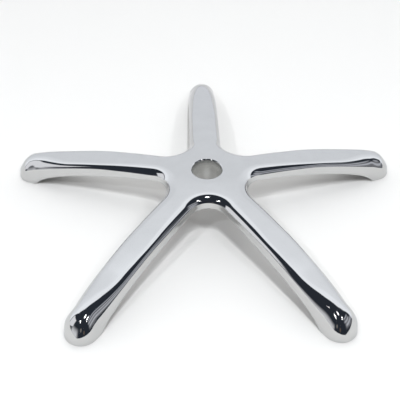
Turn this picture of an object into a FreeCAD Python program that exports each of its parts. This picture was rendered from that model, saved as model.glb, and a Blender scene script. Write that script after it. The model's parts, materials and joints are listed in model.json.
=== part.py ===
"""Five star base of an office chair: one die casting with a smooth top and a ribbed, hollow underside."""
import FreeCAD, Part
import math
import os

Vector = FreeCAD.Vector

# Overall form, in millimetres and degrees
leg_count = 5
first_leg_angle = 90.0
base_diameter = 700.0
hub_height = 91.0
leg_width = 54.0
crotch_radius = 34.0
shoulder_radius = 14.0

# Top line of a leg: level hub, straight slope, then a bend down to the nose
hub_land = 2.0
hub_easing = 80.0
slope_end_height = 43.0
nose_bend = 330.0
nose_height = 16.5

# Lower line of a leg: level under the hub, straight slope, then a bend down to the heel of the foot
arch_height = 64.0
arch_flat = 105.0
arch_easing = 200.0
arch_end_height = 18.5
heel_bend = 108.0
foot_length = 40.0

# Hollow underside
wall_thickness = 4.5
skin_thickness = 4.5
rib_thickness = 4.0
rib_setback = 5.0
hollow_bevel = 6.0
cross_rib_count = 4

# Gas lift seat in the hub
bore_diameter = 50.0
bore_chamfer = 1.5
seat_depth = 60.0
lead_in_depth = 20.0
seat_taper = 1.4366
boss_diameter = 68.0

# Caster sockets in the feet
socket_diameter = 11.0
socket_depth = 24.0
foot_boss_diameter = 24.0

# Values that follow from the sizes above
tip_radius = base_diameter / 2
half_width = leg_width / 2
foot_centre = tip_radius - half_width
leg_pitch = 360.0 / leg_count
half_pitch = math.radians(leg_pitch / 2)
crotch_centre = (half_width + crotch_radius) / math.sin(half_pitch)
hub_flat = (crotch_centre - crotch_radius) * math.cos(half_pitch) + hub_land
margin = 5.0
floor = -4 * margin
tall = hub_height + margin - floor
axis = Vector(0, 0, 1)
origin = Vector(0, 0, 0)


def polar(radius, angle):
    """The point at a radius and an angle about the hub's axis."""
    return Vector(radius * math.cos(math.radians(angle)), radius * math.sin(math.radians(angle)), 0)


def lines(points):
    return [Part.LineSegment(a, b).toShape() for a, b in zip(points, points[1:])]


def on_each_leg(shape):
    """Copies of a shape made on the +X axis, one turned onto each leg."""
    copies = []
    for k in range(leg_count):
        copy = shape.copy()
        copy.rotate(origin, axis, first_leg_angle + k * leg_pitch)
        copies.append(copy)
    return copies


def outline(inset):
    """Closed plan of the star, moved inwards by inset on every side."""
    tip = half_width - inset
    crotch = crotch_radius + inset
    edges = []
    for k in range(leg_count):
        angle = first_leg_angle + k * leg_pitch
        following = angle + leg_pitch
        foot = polar(foot_centre, angle)
        gap = polar(crotch_centre, angle + leg_pitch / 2)
        left = foot + polar(tip, angle + 90)
        leaves = gap - polar(crotch, angle + 90)
        joins = gap - polar(crotch, following - 90)
        next_right = polar(foot_centre, following) + polar(tip, following - 90)
        edges.append(Part.Arc(foot + polar(tip, angle - 90), foot + polar(tip, angle), left).toShape())
        edges.append(Part.LineSegment(left, leaves).toShape())
        edges.append(Part.Arc(leaves, gap - polar(crotch, angle + leg_pitch / 2), joins).toShape())
        edges.append(Part.LineSegment(joins, next_right).toShape())
    return Part.Wire(edges)


def side_arc(centre, radius, start, end):
    """Arc in a leg's side view, between two angles measured outwards from straight up."""
    angles = (start, (start + end) / 2, end)
    return Part.Arc(*[centre + Vector(math.sin(a), 0, math.cos(a)) * radius for a in angles]).toShape()


def under_line(level, flat, easing, aim_height, bend, end):
    """Space below a line that is level over the hub, eases into a straight slope and bends down to its end.

    The straight slope, carried on, passes over the end point at aim_height.
    """
    hub = Vector(flat, 0, level - easing)
    aim = Vector(end.x, 0, aim_height) - hub
    lean = math.asin(easing / aim.Length) - math.atan2(aim.z, aim.x)
    along = Vector(math.cos(lean), 0, -math.sin(lean))
    up = Vector(math.sin(lean), 0, math.cos(lean))
    eased = hub + up * easing
    offset = eased - up * bend - end
    travel = -offset.dot(along) - math.sqrt(bend ** 2 - offset.dot(up) ** 2)
    bent = eased + along * travel
    centre = bent - up * bend
    turn = math.atan2(end.x - centre.x, end.z - centre.z) + margin / bend
    last = centre + Vector(math.sin(turn), 0, math.cos(turn)) * bend
    edges = lines([last, Vector(last.x, 0, floor), Vector(0, 0, floor), Vector(0, 0, level), Vector(flat, 0, level)])
    edges += [side_arc(hub, easing, 0, lean), Part.LineSegment(eased, bent).toShape()]
    edges.append(side_arc(centre, bend, lean, turn))
    reach = last.x + margin
    spread = reach * math.tan(half_pitch)
    corners = [Vector(0, 0, floor), Vector(reach, spread, floor), Vector(reach, -spread, floor), Vector(0, 0, floor)]
    sector = Part.Face(Part.Wire(lines(corners))).extrude(Vector(0, 0, tall))
    profile = Part.Face(Part.Wire(edges))
    profile.translate(Vector(0, -spread, 0))
    sectors = on_each_leg(profile.extrude(Vector(0, 2 * spread, 0)).common(sector))
    return sectors[0].fuse(sectors[1:]).removeSplitter()


def under_top():
    nose = Vector(tip_radius, 0, nose_height)
    return under_line(hub_height, hub_flat, hub_easing, slope_end_height, nose_bend, nose)


def arch():
    """The open space below the legs, inside the five feet."""
    heel = Vector(tip_radius - foot_length, 0, 0)
    return under_line(arch_height, arch_flat, arch_easing, arch_end_height, heel_bend, heel)


def star_blank(inset, depth):
    """Star below the top surface, with its sides moved in and its top moved down, and its upper edge."""
    block = Part.Face(outline(inset)).extrude(Vector(0, 0, tall))
    top = under_top()
    top.translate(Vector(0, 0, -depth))
    star = block.common(top)
    edges = []
    for edge in star.Edges:
        middle = Part.Vertex(edge.valueAt((edge.FirstParameter + edge.LastParameter) / 2))
        on_side = min(middle.distToShape(face)[0] for face in block.Faces) < 0.001
        on_top = min(middle.distToShape(face)[0] for face in top.Faces) < 0.001
        if on_side and on_top and middle.Z > 0:
            edges.append(edge)
    return star, edges


def slab(start, end, width):
    """Upright plate on the +X leg, taller than the casting."""
    return Part.makeBox(end - start, width, tall, Vector(start, -width / 2, floor))


def ribs():
    """Plates in the hollow: one along each leg and some across it, the last through the foot boss."""
    plates = [slab(0, foot_centre, rib_thickness)]
    first = boss_diameter / 2
    for k in range(cross_rib_count):
        place = first + (foot_centre - first) * (k + 1) / cross_rib_count
        plates.append(slab(place - rib_thickness / 2, place + rib_thickness / 2, leg_width))
    clear = arch()
    clear.translate(Vector(0, 0, rib_setback))
    plates = plates[0].fuse(plates[1:])
    return [plate.cut(clear) for plate in on_each_leg(plates)]


def hollow():
    """Space inside the casting, open below, between the walls, the ribs, the hub boss and the foot bosses."""
    hub_boss = Part.makeCylinder(boss_diameter / 2, tall, Vector(0, 0, floor))
    foot_boss = Part.makeCylinder(foot_boss_diameter / 2, tall, Vector(foot_centre, 0, floor))
    blank, upper_edge = star_blank(wall_thickness, skin_thickness)
    return blank.makeChamfer(hollow_bevel, upper_edge).cut([hub_boss] + on_each_leg(foot_boss) + ribs())


def seat():
    """Bore for the gas lift: a chamfered mouth, a plain lead-in and a long taper that grips the post."""
    radius = bore_diameter / 2
    lead_in = hub_height - lead_in_depth
    bottom = hub_height - seat_depth
    narrow = radius - (seat_depth - lead_in_depth) * math.tan(math.radians(seat_taper))
    above = hub_height + margin
    below = bottom - margin
    points = [Vector(0, 0, above), Vector(radius + bore_chamfer + margin, 0, above)]
    points += [Vector(radius, 0, hub_height - bore_chamfer), Vector(radius, 0, lead_in), Vector(narrow, 0, bottom)]
    points += [Vector(narrow, 0, below), Vector(0, 0, below), Vector(0, 0, above)]
    return Part.Face(Part.Wire(lines(points))).revolve(origin, axis, 360)


def socket():
    """Blind hole for a caster's stem."""
    return Part.makeCylinder(socket_diameter / 2, socket_depth + margin, Vector(foot_centre, 0, -margin))


def star_base():
    ground = Part.makeBox(2 * base_diameter, 2 * base_diameter, -2 * floor)
    ground.translate(Vector(-base_diameter, -base_diameter, 2 * floor))
    blank, upper_edge = star_blank(0, 0)
    shell = blank.makeFillet(shoulder_radius, upper_edge).cut([ground, arch(), hollow()])
    bottom = hub_height - seat_depth
    boss = Part.makeCylinder(boss_diameter / 2, hub_height - skin_thickness - bottom, Vector(0, 0, bottom))
    return shell.fuse(boss).cut([seat()] + on_each_leg(socket())).removeSplitter()


os.makedirs("parts", exist_ok=True)
casting = star_base()
casting.exportStep("parts/star_base.step")
print("valid", casting.isValid(), "solids", len(casting.Solids), "faces", len(casting.Faces))
print("volume", round(casting.Volume), "box", casting.BoundBox)
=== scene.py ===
import json
import math

import bmesh
import bpy
import numpy as np
from mathutils import Matrix, Vector


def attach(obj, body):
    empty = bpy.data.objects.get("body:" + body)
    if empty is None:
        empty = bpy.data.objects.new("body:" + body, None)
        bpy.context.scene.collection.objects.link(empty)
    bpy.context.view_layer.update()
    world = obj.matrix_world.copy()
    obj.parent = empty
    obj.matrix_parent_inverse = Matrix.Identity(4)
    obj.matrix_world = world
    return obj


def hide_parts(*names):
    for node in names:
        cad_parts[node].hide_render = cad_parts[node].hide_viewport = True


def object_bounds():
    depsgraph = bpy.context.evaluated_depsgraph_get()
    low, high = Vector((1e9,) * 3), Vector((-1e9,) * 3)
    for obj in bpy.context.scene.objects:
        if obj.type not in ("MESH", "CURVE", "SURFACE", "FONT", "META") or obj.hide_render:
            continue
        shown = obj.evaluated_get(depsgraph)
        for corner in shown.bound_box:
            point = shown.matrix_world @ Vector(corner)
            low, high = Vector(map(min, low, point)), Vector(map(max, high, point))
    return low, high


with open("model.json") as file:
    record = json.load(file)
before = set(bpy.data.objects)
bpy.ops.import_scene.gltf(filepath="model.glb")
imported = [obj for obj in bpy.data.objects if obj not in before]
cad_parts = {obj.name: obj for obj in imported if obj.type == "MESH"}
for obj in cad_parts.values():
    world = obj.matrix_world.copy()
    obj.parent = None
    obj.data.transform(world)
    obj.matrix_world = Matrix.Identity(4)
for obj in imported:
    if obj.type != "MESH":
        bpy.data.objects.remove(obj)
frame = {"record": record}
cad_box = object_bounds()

# Sizes in metres, taken from the frame where it holds them
mounts = {mount["name"]: mount for mount in frame["record"]["mounts"]}
bore_radius = mounts["gas_lift_bore"]["dims"]["r_mm"] / 1000
socket_radius = mounts["caster_sockets"]["dims"]["hole_r_mm"] / 1000
foot_centre = mounts["caster_sockets"]["dims"]["pcd_mm"] / 2000
leg_count = mounts["caster_sockets"]["dims"]["count"]
tip_radius = cad_box[1].y
hub_height = cad_box[1].z
half_width = tip_radius - foot_centre
half_pitch = math.pi / leg_count
first_leg = math.pi / 2

# Shell: plan of the crotches and section of the legs
crotch_radius = 0.036
wall_draft = math.radians(8)
foot_draft = math.radians(9)
shoulder_radius = 0.014
crotch_rounding = 0.021
edge_tilt = math.radians(27)
edge_rise = 1 / math.tan(edge_tilt)
crown = 0.0008
tip_crown = 0.0100
foot_fullness = 0.15
shell_thickness = 0.0045
rim_rounding = 0.0008

# Distances from the hub's axis between which one form of a leg eases into the next
crown_change = (0.06, 0.14)
tip_change = (0.24, foot_centre)
shoulder_change = (0.06, 0.20)
crease_change = (0.15, 0.20)
draft_change = (0.22, 0.32)
foot_change = (0.22, 0.30)

# Side view of a leg as Bezier poles (distance from the hub's axis, height)
top_poles = ((0.032, hub_height), (0.052, hub_height), (tip_radius - 0.0566, 0.0652), (tip_radius, 0.0138))
lower_poles = ((0.060, 0.068), (0.090, 0.068), (tip_radius - 0.0635, 0.0407), (tip_radius - 0.040, 0.0))
crease_poles = ((0.160, 0.0685), (0.215, 0.0590), (0.284, 0.0418), (tip_radius, 0.0122))

# Gas lift seat, its lip as shares of the chamfer (outward, down), caster sockets and ribs
bore_chamfer = 0.0015
bore_lip = ((1.0, 0.0), (0.85, 0.05), (0.70, 0.17), (0.17, 0.70), (0.05, 0.85), (0.0, 1.0))
lead_in_depth = 0.020
seat_depth = 0.060
seat_taper = math.radians(1.4366)
boss_radius = 0.034
boss_corner = 0.001
foot_boss_radius = 0.012
socket_depth = 0.024
socket_corner = 0.0006
rib_thickness = 0.004
rib_setback = 0.005
rib_overlap = 0.002
cross_rib_clearance = 0.001
cross_ribs = 4

# Meshes: their steps, those of a section as shares of its shoulder, wall and top, then welding and smoothing
tip_steps = 19
side_steps = 62
crotch_steps = 20
hub_steps = 9
shoulder_shares = np.concatenate([[0, 0.03], np.linspace(0.1, 1, 13)])
wall_shares = np.array([0.25, 0.5, 0.75, 0.97])
top_shares = np.linspace(0, 1, 13)[1:]
rim_turn = np.linspace(0, math.pi / 2, 4)
bore_segments = 128
socket_segments = 48
rib_steps = 60
cross_rib_steps = 12
weld_distance = 1e-6
smooth_angle = math.radians(35)

# Working out the shoulder: points on a side line, step for a slope, its longest share of a section, halvings
curve_steps = 2001
slope_step = 2e-4
longest_shoulder = 0.97
halvings = 50

# Photograph's camera: focal length in pixels of the square frame, then degrees and metres
frame_pixels = 400
focal_pixels = 763.66
view_elevation = 43.041
view_distance = 1.320212
view_turn = -2.431
view_yaw = 0.473
view_pitch = 0.683
view_roll = -1.144
sensor_width = 36.0

# Colours of the surfaces, with the plating's tint at a grazing view and the depths of the painted shade that
# darkens the top of the bore into a dark ring
plating_clean, plating_smudged = (0.621, 0.622, 0.619), (0.594, 0.595, 0.592)
plating_edge = (0.83, 0.83, 0.85, 1)
# The last bore colour is painted shade: the dark ring at the top of the bore, reached between the two depths
# below.
bore_worn, bore_bright, bore_rim_shade_colour = (0.82, 0.82, 0.80), (0.88, 0.88, 0.86), (0.42, 0.42, 0.42)
bore_rim_shade_depths = (0.012, 0.001)
cast_dark, cast_light = (0.40, 0.40, 0.41), (0.58, 0.58, 0.59)
floor_dark, floor_light = (0.896, 0.868, 0.812), (0.911, 0.883, 0.826)
floor_reach = 12.0

# Pale half of the room seen in the plating: (how far back, radiance), its tint, and the edge where it starts,
# which lies further back at the sides
room_levels = ((0.0, 1.27), (0.3, 1.26), (0.42, 1.11), (0.6, 1.055), (0.72, 0.975), (1.0, 0.985))
room_tint = (0.966, 0.998, 1.052)
pale_from, pale_to = -0.008, 0.03
beside_from, beside_to, beside_shift = 0.3, 0.85, -0.12

# Dark half: panels on the right as (lowest and highest z of the direction, softness), (from and to in degrees
# right of the camera, softness) and radiance, then a glow and a slanted bright panel on the left
room_dark = (0.03, 0.036, 0.048)
right_panels = (
    ((0.03, 0.24, 0.06), (66, 110, 5), (0.235, 0.24, 0.265)),
    ((0.10, 0.52, 0.06), (46, 80, 8), (0.26, 0.265, 0.285)),
    ((0.17, 0.27, 0.03), (50, 108, 8), (0.60, 0.62, 0.68)),
    ((0.36, 0.45, 0.03), (44, 84, 8), (0.56, 0.58, 0.64)),
    ((0.55, 0.63, 0.03), (44, 84, 8), (0.50, 0.52, 0.58)),
)
glow_fade, glow_turns, glow_colour = (0.34, 0.02), (-66, -30, 8), (0.90, 0.91, 0.95)
bright_slant, bright_level, bright_foot, bright_top = 0.009, 0.74, (0.0, 0.04), (0.60, 0.54)
bright_turns, bright_colour = (-95, -64, 3), (1.02, 1.03, 1.08)
backdrop = (0.96, 0.96, 0.96)

# Lamps seen in the plating as (degrees right of the camera, degrees up, angular radius, radiance)
lamp_white = (8.0, 7.9, 8.1)
room_lamps = (
    (10, 66, 3.2, lamp_white),
    (-34, 46, 2.6, lamp_white),
    (-27, 40, 1.8, lamp_white),
    (34, 40, 1.8, lamp_white),
    (42, 47, 2.6, lamp_white),
    (-12, 15, 5.0, (0.22, 0.21, 0.20)),
    (8, 9, 4.0, (0.14, 0.11, 0.09)),
)
spot_rim, spot_core = 1.25, 0.75

# Lamps that light the floor as (name, degrees right of the camera, degrees up, watts)
floor_lamps = (
    ("high_lamp", 10, 69, 43),
    ("front_lamp", 10, 63, 26),
    ("left_lamp", -35, 50, 25),
    ("right_lamp", 43, 53, 20),
)
lamp_size = 0.18
lamp_distance = 4.2
lamp_colour = (0.94, 0.99, 1.07)


def bezier(t, poles):
    """Point at t on the cubic Bezier curve with these four poles."""
    start, first, second, end = poles
    return (1 - t) ** 3 * start + 3 * t * (1 - t) ** 2 * first + 3 * t ** 2 * (1 - t) * second + t ** 3 * end


def bezier_heading(t, poles):
    """Direction of that curve at t, a third of its derivative."""
    first, second, third = (end - start for start, end in zip(poles[:-1], poles[1:]))
    return (1 - t) ** 2 * first + 2 * t * (1 - t) * second + t ** 2 * third


def line_height(poles):
    """Height of a side line at any distance from the hub's axis, level before its first pole."""
    curve = bezier(np.linspace(0, 1, curve_steps)[:, None], np.array(poles))
    return lambda r: np.interp(r, curve[:, 0], curve[:, 1])


top_line = line_height(top_poles)
lower_line = line_height(lower_poles)
crease_line = line_height(crease_poles)


def ease(x, start, end):
    """Smooth rise from 0 at start to 1 at end."""
    t = np.clip((x - start) / (end - start), 0, 1)
    return t * t * (3 - 2 * t)


def top_height(x, y):
    """Height of the top skin on a leg that lies along +X, with its crown across the leg."""
    swell = crown * ease(x, *crown_change) + (tip_crown - crown) * ease(x, *tip_change)
    return top_line(np.hypot(x, y)) + swell * (1 - np.minimum(np.abs(y) / half_width, 1) ** 2)


def half_outline():
    """Plan of half a leg along +X, from its tip to the crotch.

    Gives its points, the inward direction at each, where the section there ends, and the rows where the tip
    and the side end and where sections start to end on the bore's rim, with the distance where the side ends.
    """
    crotch_centre = (half_width + crotch_radius) / math.sin(half_pitch)
    gap = np.array([crotch_centre * math.cos(half_pitch), half_width + crotch_radius])
    rim = bore_radius + bore_chamfer
    meets_rim = math.atan2(rim * math.sin(half_pitch), crotch_centre - rim * math.cos(half_pitch))

    around = np.linspace(0, math.pi / 2, tip_steps)
    tip_in = -np.stack([np.cos(around), np.sin(around)], 1)
    tip = np.array([foot_centre, 0]) - tip_in * half_width
    tip_end = np.tile([foot_centre, 0], (len(around), 1))

    along = np.linspace(foot_centre, gap[0], side_steps)[1:-1]
    side = np.stack([along, np.full_like(along, half_width)], 1)
    side_in = np.tile([0.0, -1.0], (len(along), 1))
    side_end = np.stack([along, np.zeros_like(along)], 1)

    swing = math.pi / 2 - half_pitch
    to_hub = np.linspace(swing, meets_rim, crotch_steps)
    fan = np.concatenate([to_hub, np.linspace(meets_rim, 0, hub_steps)[1:]])
    on_rim = np.arange(len(fan)) >= len(to_hub) - 1
    heading = math.pi + half_pitch + fan
    crotch_in = np.stack([np.cos(heading), np.sin(heading)], 1)
    crotch = gap + crotch_in * crotch_radius
    to_spoke = crotch[:, 1] / -crotch_in[:, 1]
    ahead = np.sum(crotch * crotch_in, 1)
    to_rim = -ahead - np.sqrt(np.maximum(ahead ** 2 - np.sum(crotch ** 2, 1) + rim ** 2, 0))
    crotch_end = crotch + crotch_in * np.where(on_rim, to_rim, to_spoke)[:, None]
    crotch_end[~on_rim, 1] = 0

    points = np.concatenate([tip, side, crotch])
    inward = np.concatenate([tip_in, side_in, crotch_in])
    ends = np.concatenate([tip_end, side_end, crotch_end])
    first_on_rim = len(points) - int(on_rim.sum())
    rows = {"tip": len(tip) - 1, "side": len(tip) + len(side), "rim": first_on_rim, "gap": gap[0]}
    return points, inward, ends, rows


def skin_height(points, inward, u):
    """Height of the top skin at a way u inward from each outline point."""
    place = points + inward * u[:, None]
    return top_height(place[:, 0], place[:, 1])


def shoulder_poles(points, inward, span, base):
    """Bezier poles of the shoulder at each outline point, from the wall's crease to the top skin.

    Gives their ways inward, their heights, and the skin's slope where the shoulder meets it.
    """
    distance = points[:, 0]
    radius = crotch_rounding + (shoulder_radius - crotch_rounding) * ease(distance, *shoulder_change)
    lean = np.tan(wall_draft + (foot_draft - wall_draft) * ease(distance, *draft_change))

    def skin(u):
        return skin_height(points, inward, u)

    def skin_slope(u):
        return (skin(u + slope_step) - skin(u - slope_step)) / (2 * slope_step)

    def last(holds):
        near, far = np.zeros_like(span), longest_shoulder * span
        for _ in range(halvings):
            half_way = (near + far) / 2
            near, far = np.where(holds(half_way), half_way, near), np.where(holds(half_way), far, half_way)
        return (near + far) / 2

    def rolled_edge(u):
        slope = skin_slope(u)
        size = np.sqrt(1 + slope ** 2)
        edge_u = u + radius * (slope / size - math.cos(edge_tilt))
        return edge_u, skin(u) + radius * (math.sin(edge_tilt) - 1 / size)

    def outside_wall(u):
        edge_u, edge_z = rolled_edge(u)
        return edge_u < (edge_z - base) * lean

    crease_z = rolled_edge(last(outside_wall))[1]
    crease_z += (crease_line(distance) - crease_z) * ease(distance, *crease_change)
    crease_u = (crease_z - base) * lean

    def handles(u):
        slope = skin_slope(u)
        run = (skin(u) - crease_z - slope * (u - crease_u)) / (edge_rise - slope)
        return run, u - crease_u - run, slope

    def short_of_round(u):
        run, back, slope = handles(u)
        return run * math.sqrt(1 + edge_rise ** 2) > back * np.sqrt(1 + slope ** 2)

    contact = last(short_of_round)
    run, back, slope = handles(contact)
    bend = math.pi / 2 - edge_tilt - np.arctan(slope)
    round_pull = 4 / 3 * np.tan(bend / 4) / np.tan(bend / 2)
    pull = round_pull * (1 + foot_fullness * ease(distance, *foot_change))
    poles_u = (crease_u, crease_u + pull * run, contact - pull * back, contact)
    top_z = skin(contact)
    poles_z = (crease_z, crease_z + pull * run * edge_rise, top_z - pull * back * slope, top_z)
    return poles_u, poles_z, slope


def up_wall(low, high):
    """Points up a straight wall, short of both its ends."""
    return low[:, None] + (high - low)[:, None] * wall_shares


def sections(points, inward, ends):
    """Closed section of the shell at each outline point.

    Gives the sections as (outline point, section point, xyz), how many of a section's points lie inside, and
    the line in the middle of the skin's thickness as (way inward, height).
    """
    count = len(points)
    span = np.linalg.norm(ends - points, axis=1)
    base = lower_line(np.hypot(points[:, 0], points[:, 1]))
    poles_u, poles_z, slope = shoulder_poles(points, inward, span, base)
    contact = poles_u[3]

    columns_u, columns_z = ([pole[:, None] for pole in poles] for poles in (poles_u, poles_z))
    outer_u, outer_z = bezier(shoulder_shares, columns_u), bezier(shoulder_shares, columns_z)
    heading_u = bezier_heading(shoulder_shares, columns_u)
    heading_z = bezier_heading(shoulder_shares, columns_z)
    length = np.hypot(heading_u, heading_z)
    in_u, in_z = shell_thickness * heading_z / length, -shell_thickness * heading_u / length
    inner_u, inner_z = (outer_u + in_u)[:, ::2], (outer_z + in_z)[:, ::2]

    top_u = contact[:, None] + (span - contact)[:, None] * top_shares
    top_z = np.stack([skin_height(points, inward, u) for u in top_u.T], 1)
    size = np.sqrt(1 + slope ** 2)[:, None]
    drift = shell_thickness * (slope[:, None] / size) * (1 - top_shares)
    depth = shell_thickness * ((1 - top_shares) / size + top_shares)

    outer_rim_u = np.tile(rim_rounding * (1 - np.sin(rim_turn)), (count, 1))
    outer_rim_z = base[:, None] + rim_rounding * (1 - np.cos(rim_turn))
    inner_rim_u = np.tile(shell_thickness - rim_rounding * (1 - np.cos(rim_turn)), (count, 1))
    inner_rim_z = base[:, None] + rim_rounding * (1 - np.sin(rim_turn))
    outer_wall_u = up_wall(outer_rim_u[:, -1], outer_u[:, 0])
    outer_wall_z = up_wall(outer_rim_z[:, -1], outer_z[:, 0])
    inner_wall_u = up_wall(inner_rim_u[:, 0], inner_u[:, 0])
    inner_wall_z = up_wall(inner_rim_z[:, 0], inner_z[:, 0])

    inside_u = np.concatenate([inner_wall_u, inner_u, top_u + drift], 1)
    inside_z = np.concatenate([inner_wall_z, inner_z, top_z - depth], 1)
    past = inside_u >= span[:, None]
    inside_u = np.where(past, span[:, None], inside_u)[:, ::-1]
    inside_z = np.where(past, inside_z[:, -1:], inside_z)[:, ::-1]
    u = np.concatenate([inside_u, inner_rim_u, outer_rim_u, outer_wall_u, outer_u, top_u], 1)
    z = np.concatenate([inside_z, inner_rim_z, outer_rim_z, outer_wall_z, outer_z, top_z], 1)
    place = points[:, None] + inward[:, None] * u[:, :, None]

    middle_u = np.concatenate([outer_wall_u + shell_thickness / 2, outer_u + in_u / 2, top_u + drift / 2], 1)
    middle_z = np.concatenate([outer_wall_z, outer_z + in_z / 2, top_z - depth / 2], 1)
    return np.concatenate([place, z[:, :, None]], 2), inside_u.shape[1], (middle_u, middle_z)


points, inward, ends, rows = half_outline()
grid, inside_count, mid_skin = sections(points, inward, ends)


def under_skin(x, y):
    """Height in the middle of the skin's thickness on a leg along +X, read from the leg's sections."""
    if x <= rows["gap"]:
        return float(top_height(x, y)) - shell_thickness / 2
    if x > foot_centre:
        row = math.atan2(abs(y), x - foot_centre) / (math.pi / 2) * rows["tip"]
    else:
        row = rows["tip"] + (foot_centre - x) / (foot_centre - rows["gap"]) * (rows["side"] - rows["tip"])
    depth = half_width - math.hypot(max(x - foot_centre, 0), y)
    before = int(row)
    after = min(before + 1, rows["side"])
    low, high = (np.interp(depth, mid_skin[0][k], mid_skin[1][k]) for k in (before, after))
    return float(low + (high - low) * (row - before))


def leg_angles():
    return [first_leg + 2 * half_pitch * k for k in range(leg_count)]


def turned_about_z(points, angle):
    c, s = math.cos(angle), math.sin(angle)
    return points @ np.array([[c, s, 0], [-s, c, 0], [0, 0, 1]])


def new_piece(name, vertices, faces, materials, face_material=None):
    """Mesh piece with welded points and smooth shading up to an angle, riding on the casting's body."""
    mesh = bpy.data.meshes.new(name)
    mesh.from_pydata(vertices, [], faces)
    for material in materials:
        mesh.materials.append(material)
    if face_material is not None:
        mesh.polygons.foreach_set("material_index", face_material)
    welded = bmesh.new()
    welded.from_mesh(mesh)
    bmesh.ops.remove_doubles(welded, verts=welded.verts, dist=weld_distance)
    bmesh.ops.recalc_face_normals(welded, faces=welded.faces)
    welded.to_mesh(mesh)
    welded.free()
    mesh.polygons.foreach_set("use_smooth", [True] * len(mesh.polygons))
    mesh.set_sharp_from_angle(angle=smooth_angle)
    piece = bpy.data.objects.new(name, mesh)
    bpy.context.scene.collection.objects.link(piece)
    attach(piece, "root")
    return piece


def shell_piece(polished, cast):
    """Whole skin of the star: a leg's half sections, mirrored and turned, plated outside and cast inside."""
    count, columns = grid.shape[:2]
    cast_columns = inside_count + len(rim_turn) - 1
    vertices, faces, kinds = [], [], []
    for angle in leg_angles():
        for side in (1, -1):
            start = len(vertices)
            half = grid.reshape(-1, 3) * [1, side, 1]
            vertices.extend(turned_about_z(half, angle).tolist())
            for i in range(count - 1):
                for j in range(columns - 1):
                    a = start + i * columns + j
                    faces.append((a, a + 1, a + columns + 1, a + columns))
                    kinds.append(1 if j < cast_columns else 0)
                if i >= rows["rim"]:
                    a = start + i * columns
                    faces.append((a, a + columns, a + 2 * columns - 1, a + columns - 1))
                    kinds.append(1)
    return new_piece("star_shell", vertices, faces, [polished, cast], kinds)


def lathe(profile, centre, segments):
    """Vertices and faces of a closed profile of (radius, height) turned about an upright axis."""
    vertices, faces = [], []
    for k in range(segments):
        angle = 2 * math.pi * k / segments
        for r, z in profile:
            vertices.append((centre[0] + r * math.cos(angle), centre[1] + r * math.sin(angle), z))
    n = len(profile)
    for k in range(segments):
        for i in range(n):
            a, b = k * n, (k + 1) % segments * n
            faces.append((a + i, a + (i + 1) % n, b + (i + 1) % n, b + i))
    return vertices, faces


def gas_lift_seat(polished, machined, cast):
    """Hub boss with the chamfered, tapered bore."""
    bottom = hub_height - seat_depth
    lead_in = hub_height - lead_in_depth
    under_top = hub_height - shell_thickness / 2
    narrow = bore_radius - (lead_in - bottom) * math.tan(seat_taper)
    lip = [(bore_radius + bore_chamfer * out, hub_height - bore_chamfer * down) for out, down in bore_lip]
    bore = [(bore_radius, lead_in), (narrow, bottom + boss_corner)]
    boss = [(narrow + boss_corner, bottom), (boss_radius - boss_corner, bottom)]
    boss += [(boss_radius, bottom + boss_corner), (boss_radius, under_top)]
    boss += [(bore_radius + bore_chamfer, under_top)]
    vertices, faces = lathe(lip + bore + boss, (0, 0), bore_segments)
    kinds = ([0] * (len(lip) - 1) + [1] * len(bore) + [2] * (len(boss) + 1)) * bore_segments
    return new_piece("gas_lift_seat", vertices, faces, [polished, machined, cast], kinds)


def caster_sockets(cast, machined):
    """Bosses under the feet with their blind stem holes, each running up into the skin."""
    hole = [(0, socket_depth), (socket_radius, socket_depth), (socket_radius, socket_corner)]
    boss = [(socket_radius + socket_corner, 0), (foot_boss_radius - socket_corner, 0)]
    boss += [(foot_boss_radius, socket_corner), (foot_boss_radius, hub_height), (0, hub_height)]
    turned, quads = lathe(hole + boss, (foot_centre, 0), socket_segments)
    socket = np.array(turned)
    socket[:, 2] = [min(z, under_skin(x, y)) for x, y, z in socket]
    vertices, faces, kinds = [], [], []
    for angle in leg_angles():
        faces.extend(tuple(len(vertices) + i for i in quad) for quad in quads)
        kinds.extend(([1] * len(hole) + [0] * len(boss)) * socket_segments)
        vertices.extend(turned_about_z(socket, angle).tolist())
    return new_piece("caster_sockets", vertices, faces, [cast, machined], kinds)


def ribs(cast):
    """Plates under the skin: one along each leg and some across it, the last through the foot boss."""
    vertices, faces = [], []

    def plate(path, across, angle):
        start = len(vertices)
        for x, y in path:
            r = math.hypot(x, y)
            high = under_skin(x, y)
            setback = rib_setback if r < lower_poles[3][0] else 0
            low = min(float(lower_line(r)) + setback, high - shell_thickness)
            ring = [(x - across[0], y - across[1], low), (x + across[0], y + across[1], low)]
            ring += [(x + across[0], y + across[1], high), (x - across[0], y - across[1], high)]
            vertices.extend(turned_about_z(np.array(ring), angle).tolist())
        for i in range(len(path) - 1):
            for j in range(4):
                a, b = start + 4 * i, start + 4 * i + 4
                faces.append((a + j, a + (j + 1) % 4, b + (j + 1) % 4, b + j))
        faces.append(tuple(start + j for j in range(4)))
        faces.append(tuple(start + 4 * (len(path) - 1) + j for j in range(4)))

    first, last = boss_radius - rib_overlap, foot_centre - foot_boss_radius + rib_overlap
    reach = half_width - shell_thickness - cross_rib_clearance
    for angle in leg_angles():
        plate([(x, 0.0) for x in np.linspace(first, last, rib_steps)], (0, rib_thickness / 2), angle)
        for k in range(cross_ribs):
            x = boss_radius + (foot_centre - boss_radius) * (k + 1) / cross_ribs
            path = [(x, y) for y in np.linspace(-reach, reach, cross_rib_steps)]
            plate(path, (rib_thickness / 2, 0), angle)
    return new_piece("ribs", vertices, faces, [cast])


def principled(name):
    material = bpy.data.materials.new(name)
    material.use_nodes = True
    nodes, links = material.node_tree.nodes, material.node_tree.links
    return material, nodes, links, nodes["Principled BSDF"]


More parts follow.
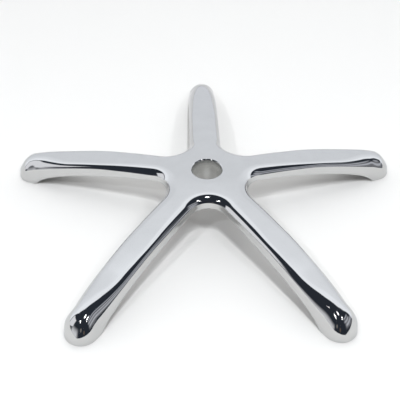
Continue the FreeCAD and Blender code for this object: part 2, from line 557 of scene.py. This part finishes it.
def object_noise(nodes, links, scale, detail, roughness=0.5):
    """Noise in the object's own coordinates."""
    place = nodes.new("ShaderNodeTexCoord")
    noise = nodes.new("ShaderNodeTexNoise")
    noise.inputs["Scale"].default_value = scale
    noise.inputs["Detail"].default_value = detail
    noise.inputs["Roughness"].default_value = roughness
    links.new(place.outputs["Object"], noise.inputs["Vector"])
    return noise.outputs["Fac"]


def ramp(nodes, links, source, low, high, start=0.0, end=1.0):
    """Source value spread from start to end onto low to high."""
    spread = nodes.new("ShaderNodeMapRange")
    spread.inputs["From Min"].default_value = start
    spread.inputs["From Max"].default_value = end
    spread.inputs["To Min"].default_value = low
    spread.inputs["To Max"].default_value = high
    links.new(source, spread.inputs["Value"])
    return spread.outputs["Result"]


def bump(nodes, links, shader, height, strength, distance):
    node = nodes.new("ShaderNodeBump")
    node.inputs["Strength"].default_value = strength
    node.inputs["Distance"].default_value = distance
    links.new(height, node.inputs["Height"])
    links.new(node.outputs["Normal"], shader.inputs["Normal"])


def mixed(nodes, links, factor, below, above):
    """Mix of two colours, each a plain colour or a node's output."""
    mix = nodes.new("ShaderNodeMix")
    mix.data_type = "RGBA"
    links.new(factor, mix.inputs["Factor"])
    for name, colour in (("A", below), ("B", above)):
        if isinstance(colour, tuple):
            mix.inputs[name].default_value = (*colour, 1)
        else:
            links.new(colour, mix.inputs[name])
    return mix.outputs["Result"]


def polished_metal():
    """Bright plated skin: faint smudges, polishing haze and the slight waviness of a casting."""
    material, nodes, links, shader = principled("bright_plating")
    shader.inputs["Metallic"].default_value = 1.0
    shader.inputs["Specular Tint"].default_value = plating_edge
    smudge = object_noise(nodes, links, scale=26, detail=5, roughness=0.6)
    haze = ramp(nodes, links, smudge, low=0, high=1, start=0.35, end=0.75)
    links.new(mixed(nodes, links, haze, plating_clean, plating_smudged), shader.inputs["Base Color"])
    dulled = ramp(nodes, links, smudge, low=0.035, high=0.10, start=0.35, end=0.8)
    links.new(dulled, shader.inputs["Roughness"])
    wave = object_noise(nodes, links, scale=38, detail=2)
    bump(nodes, links, shader, wave, strength=0.15, distance=0.0004)
    return material


def machined_metal():
    """Turned bore: fine rings on a worn grey, with painted shade darkening it towards the rim into a dark
    ring.
    """
    material, nodes, links, shader = principled("turned_bore")
    shader.inputs["Metallic"].default_value = 0.9
    grime = object_noise(nodes, links, scale=60, detail=4)
    links.new(ramp(nodes, links, grime, low=0.22, high=0.27), shader.inputs["Roughness"])
    place = nodes.new("ShaderNodeTexCoord")
    height = nodes.new("ShaderNodeSeparateXYZ")
    links.new(place.outputs["Object"], height.inputs["Vector"])
    # Painted shade: the bore darkens towards the rim, painting the dark ring at its top.
    rim_shade_start, rim_shade_end = (hub_height - depth for depth in bore_rim_shade_depths)
    rim_shade_mask = ramp(nodes, links, height.outputs["Z"], low=0, high=1, start=rim_shade_start, end=rim_shade_end)
    worn = mixed(nodes, links, grime, bore_worn, bore_bright)
    links.new(mixed(nodes, links, rim_shade_mask, worn, bore_rim_shade_colour), shader.inputs["Base Color"])
    rings = nodes.new("ShaderNodeTexWave")
    rings.bands_direction = "Z"
    rings.inputs["Scale"].default_value = 180
    rings.inputs["Distortion"].default_value = 0.6
    links.new(place.outputs["Object"], rings.inputs["Vector"])
    bump(nodes, links, shader, rings.outputs["Fac"], strength=0.12, distance=0.0002)
    return material


def cast_metal():
    """As-cast underside: grainy, matt grey aluminium."""
    material, nodes, links, shader = principled("as_cast")
    shader.inputs["Metallic"].default_value = 1.0
    grain = object_noise(nodes, links, scale=420, detail=3)
    patch = object_noise(nodes, links, scale=22, detail=4)
    links.new(mixed(nodes, links, patch, cast_dark, cast_light), shader.inputs["Base Color"])
    links.new(ramp(nodes, links, patch, low=0.38, high=0.58), shader.inputs["Roughness"])
    bump(nodes, links, shader, grain, strength=0.3, distance=0.0004)
    return material


def floor_piece():
    """Plain pale studio floor."""
    mesh = bpy.data.meshes.new("floor")
    corners = [(x * floor_reach, y * floor_reach, 0) for x, y in ((-1, -1), (1, -1), (1, 1), (-1, 1))]
    mesh.from_pydata(corners, [], [(0, 1, 2, 3)])
    floor = bpy.data.objects.new("floor", mesh)
    bpy.context.scene.collection.objects.link(floor)
    material, nodes, links, shader = principled("pale_floor")
    shader.inputs["Roughness"].default_value = 0.7
    mottle = object_noise(nodes, links, scale=1.5, detail=3)
    links.new(mixed(nodes, links, mottle, floor_dark, floor_light), shader.inputs["Base Color"])
    mesh.materials.append(material)


def towards(turn_to, height):
    """Direction so many degrees right of straight towards -Y and so many degrees up."""
    a, e = math.radians(turn_to), math.radians(height)
    return Vector((math.sin(a) * math.cos(e), -math.cos(a) * math.cos(e), math.sin(e)))


def studio():
    """Room around the object: pale above and behind it, dark beyond the camera, with panels at the sides."""
    world = bpy.data.worlds.new("studio")
    bpy.context.scene.world = world
    world.use_nodes = True
    nodes, links = world.node_tree.nodes, world.node_tree.links

    def value_of(kind, *values):
        node = nodes.new("ShaderNodeMath")
        node.operation = kind
        for socket, value in zip(node.inputs, values):
            if isinstance(value, (int, float)):
                socket.default_value = value
            else:
                links.new(value, socket)
        return node.outputs[0]

    def step(value, start, end):
        node = nodes.new("ShaderNodeMapRange")
        node.interpolation_type = "SMOOTHSTEP"
        node.inputs["From Min"].default_value = start
        node.inputs["From Max"].default_value = end
        links.new(value, node.inputs["Value"])
        return node.outputs["Result"]

    def both(first, second):
        return value_of("MULTIPLY", first, second)

    def between(value, low, high, soft):
        return both(step(value, low - soft, low + soft), step(value, high + soft, high - soft))

    place = nodes.new("ShaderNodeTexCoord")
    turn = nodes.new("ShaderNodeMapping")
    turn.inputs["Rotation"].default_value[2] = math.radians(-view_turn)
    links.new(place.outputs["Generated"], turn.inputs["Vector"])
    split = nodes.new("ShaderNodeSeparateXYZ")
    links.new(turn.outputs["Vector"], split.inputs["Vector"])
    x, y, z = split.outputs["X"], split.outputs["Y"], split.outputs["Z"]
    azimuth = value_of("DEGREES", value_of("ARCTAN2", x, value_of("MULTIPLY", y, -1.0)))

    pale = nodes.new("ShaderNodeValToRGB")
    links.new(y, pale.inputs["Fac"])
    stops = pale.color_ramp.elements
    for position, _ in room_levels[1:-1]:
        stops.new(position)
    for stop, (_, level) in zip(stops, room_levels):
        stop.color = (*(level * part for part in room_tint), 1)

    front = room_dark
    for heights, turns, colour in right_panels:
        panel = both(between(z, *heights), between(azimuth, *turns))
        front = mixed(nodes, links, panel, front, colour)
    glow = both(step(z, *glow_fade), between(azimuth, *glow_turns))
    front = mixed(nodes, links, glow, front, glow_colour)
    low_edge = value_of("MULTIPLY_ADD", azimuth, bright_slant, bright_level)
    panel = both(step(value_of("SUBTRACT", z, low_edge), *bright_foot), step(z, *bright_top))
    front = mixed(nodes, links, both(panel, between(azimuth, *bright_turns)), front, bright_colour)
    for turn_to, height, radius, colour in room_lamps:
        near = nodes.new("ShaderNodeVectorMath")
        near.operation = "DOT_PRODUCT"
        links.new(turn.outputs["Vector"], near.inputs[0])
        near.inputs[1].default_value = towards(turn_to, height)
        rim, core = (math.cos(math.radians(share * radius)) for share in (spot_rim, spot_core))
        front = mixed(nodes, links, step(near.outputs["Value"], rim, core), front, colour)

    beside = step(value_of("ABSOLUTE", x), beside_from, beside_to)
    behind = step(value_of("MULTIPLY_ADD", beside, beside_shift, y), pale_from, pale_to)
    room = mixed(nodes, links, behind, front, pale.outputs["Color"])
    seen = nodes.new("ShaderNodeLightPath")
    shown = mixed(nodes, links, seen.outputs["Is Camera Ray"], room, backdrop)
    links.new(shown, nodes["Background"].inputs["Color"])


def lamp(name, turn_to, height, power):
    """Soft square lamp facing the hub; the plating shows the room's own lamps instead of it."""
    place = lamp_distance * towards(turn_to + view_turn, height)
    light = bpy.data.lights.new(name, "AREA")
    light.size = lamp_size
    light.energy = power
    light.color = lamp_colour
    piece = bpy.data.objects.new(name, light)
    piece.location = place
    piece.rotation_mode = "QUATERNION"
    piece.rotation_quaternion = (-place).to_track_quat("-Z", "Y")
    piece.visible_glossy = False
    bpy.context.scene.collection.objects.link(piece)


def photo_camera():
    """Camera aimed at the hub, then turned a little by yaw, pitch and roll, and set round the hub's axis."""
    elevation = math.radians(view_elevation)
    back = Vector((0, -math.cos(elevation), math.sin(elevation)))
    forward, right = -back, Vector((1, 0, 0))
    up = right.cross(forward)
    turn = Matrix.Rotation(math.radians(view_yaw), 3, up)
    forward, right = turn @ forward, turn @ right
    turn = Matrix.Rotation(math.radians(view_pitch), 3, right)
    forward, up = turn @ forward, turn @ up
    turn = Matrix.Rotation(math.radians(view_roll), 3, forward)
    right, up = turn @ right, turn @ up
    about_hub = Matrix.Rotation(math.radians(view_turn), 3, "Z")
    axes = Matrix([about_hub @ right, about_hub @ up, about_hub @ -forward]).transposed()
    data = bpy.data.cameras.new("photo_camera")
    data.sensor_width = sensor_width
    data.lens = focal_pixels / frame_pixels * sensor_width
    camera = bpy.data.objects.new("photo_camera", data)
    camera.matrix_world = Matrix.Translation(about_hub @ back * view_distance) @ axes.to_4x4()
    bpy.context.scene.collection.objects.link(camera)
    bpy.context.scene.camera = camera


polished = polished_metal()
machined = machined_metal()
cast = cast_metal()
shell = shell_piece(polished, cast)
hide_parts("star_base")
gas_lift_seat(polished, machined, cast)
caster_sockets(cast, machined)
ribs(cast)
floor_piece()
studio()
for name, turn_to, height, power in floor_lamps:
    lamp(name, turn_to, height, power)
photo_camera()
bpy.context.scene.view_settings.view_transform = "Standard"
